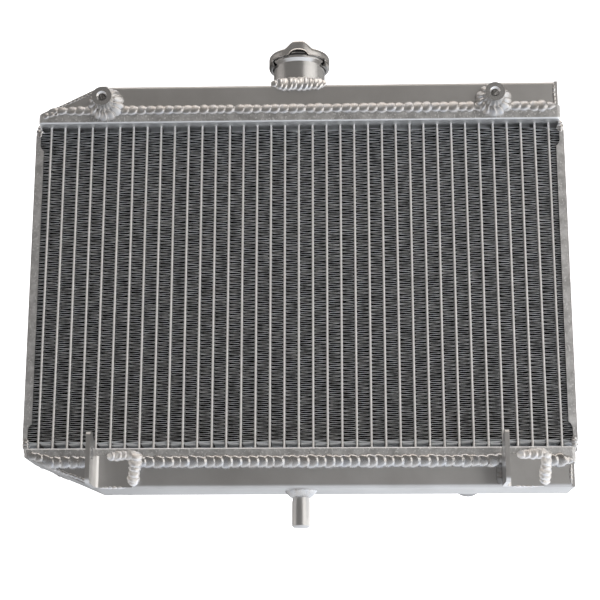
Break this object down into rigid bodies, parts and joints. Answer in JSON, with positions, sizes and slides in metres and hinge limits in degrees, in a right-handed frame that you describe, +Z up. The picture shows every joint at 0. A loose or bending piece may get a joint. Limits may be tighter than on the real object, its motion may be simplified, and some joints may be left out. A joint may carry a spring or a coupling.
{
  "type": "car radiator",
  "caption": "Aluminium downflow radiator with welded tanks, finned flat-tube core, filler neck with pressure cap, threaded bosses, lower brackets, peg and drain plug.",
  "frame": {"origin": "middle of the bottom tank's underside, beside the locating peg's root, in the core's mid planes", "axes": "+X to the right seen from the front, +Y to the back, +Z up towards the filler neck; the front faces -Y"},
  "size_m": [0.3814, 0.11, 0.3508],
  "materials": {
    "tube_aluminium": "bright drawn",
    "fin_aluminium": "shaded bright foil",
    "sheet_aluminium": "mill finish with flux specks",
    "tank_aluminium": "satin brushed",
    "weld_metal": "rippled bright weld",
    "turned_aluminium": "turned bright",
    "bracket_aluminium": "satin",
    "aluminium_washer": "satin",
    "plug_steel": "zinc plated",
    "cap_steel": "bright pressed",
    "spring_steel": "bright",
    "gasket_rubber": "matt black",
    "brass": "satin"
  },
  "bodies": {
    "radiator": {"core_tubes": "tube_aluminium", "fins_left": "fin_aluminium", "fins_centre": "fin_aluminium", "fins_right": "fin_aluminium", "top_header": "sheet_aluminium", "bottom_header": "sheet_aluminium", "left_side_plate": "sheet_aluminium", "right_side_plate": "sheet_aluminium", "top_tank_shell": "tank_aluminium", "top_tank_left_end": "tank_aluminium", "top_tank_right_end": "tank_aluminium", "bottom_tank_shell": "tank_aluminium", "bottom_tank_left_end": "tank_aluminium", "bottom_tank_right_end": "tank_aluminium", "top_seam_weld": "weld_metal", "bottom_seam_weld": "weld_metal", "top_end_welds": "weld_metal", "bottom_end_welds": "weld_metal", "neck_weld": "weld_metal", "upper_boss_welds": "weld_metal", "lower_bracket_welds": "weld_metal", "peg_weld": "weld_metal", "inlet_weld": "weld_metal", "outlet_weld": "weld_metal", "drain_weld": "weld_metal", "filler_neck": "turned_aluminium", "overflow_pipe": "turned_aluminium", "inlet_pipe": "turned_aluminium", "outlet_pipe": "turned_aluminium", "upper_boss_left": "turned_aluminium", "upper_boss_right": "turned_aluminium", "lower_bracket_left": "bracket_aluminium", "lower_bracket_right": "bracket_aluminium", "locating_peg": "turned_aluminium", "drain_bung": "turned_aluminium"},
    "cap_carrier": {"cap_gasket": "gasket_rubber", "cap_spring_disc": "spring_steel", "cap_rivet": "cap_steel", "valve_bell": "spring_steel"},
    "cap_grip": {"cap_shell": "cap_steel"},
    "pressure_valve": {"pressure_valve_plate": "spring_steel", "pressure_valve_gasket": "gasket_rubber", "pressure_spring": "spring_steel", "vacuum_guide": "spring_steel"},
    "vacuum_valve_body": {"vacuum_valve": "brass", "vacuum_spring": "spring_steel"},
    "drain_seal": {"drain_washer": "aluminium_washer"},
    "drain_screw": {"drain_plug": "plug_steel"}
  },
  "joints": [
    {"name": "cap_lift", "type": "slide", "parent": "radiator", "child": "cap_carrier", "axis": [0, 0, 1], "range_m": [0, 0.035]},
    {"name": "cap_turn", "type": "hinge", "parent": "cap_carrier", "child": "cap_grip", "pos_m": [0, 0, 0.31], "axis": [0, 0, 1], "range_deg": [-90, 0]},
    {"name": "pressure_valve_lift", "type": "slide", "parent": "cap_carrier", "child": "pressure_valve", "axis": [0, 0, 1], "range_m": [0, 0.002], "stiffness_N_per_m": 8000, "springref_m": -0.007, "deforming": ["pressure_spring"]},
    {"name": "vacuum_valve_drop", "type": "slide", "parent": "pressure_valve", "child": "vacuum_valve_body", "axis": [0, 0, -1], "range_m": [0, 0.0015], "stiffness_N_per_m": 100, "springref_m": -0.002, "deforming": ["vacuum_spring"]},
    {"name": "drain_plug_travel", "type": "slide", "parent": "radiator", "child": "drain_seal", "axis": [0, 1, 0], "range_m": [0, 0.012]},
    {"name": "drain_plug_turn", "type": "hinge", "parent": "drain_seal", "child": "drain_screw", "pos_m": [-0.12, 0.03, 0.009], "axis": [0, 1, 0], "range_deg": [0, 2880]}
  ],
  "couplings": [
    {"joint": "drain_plug_travel", "follows": "drain_plug_turn", "m_per_rad": 0.0002387}
  ]
}
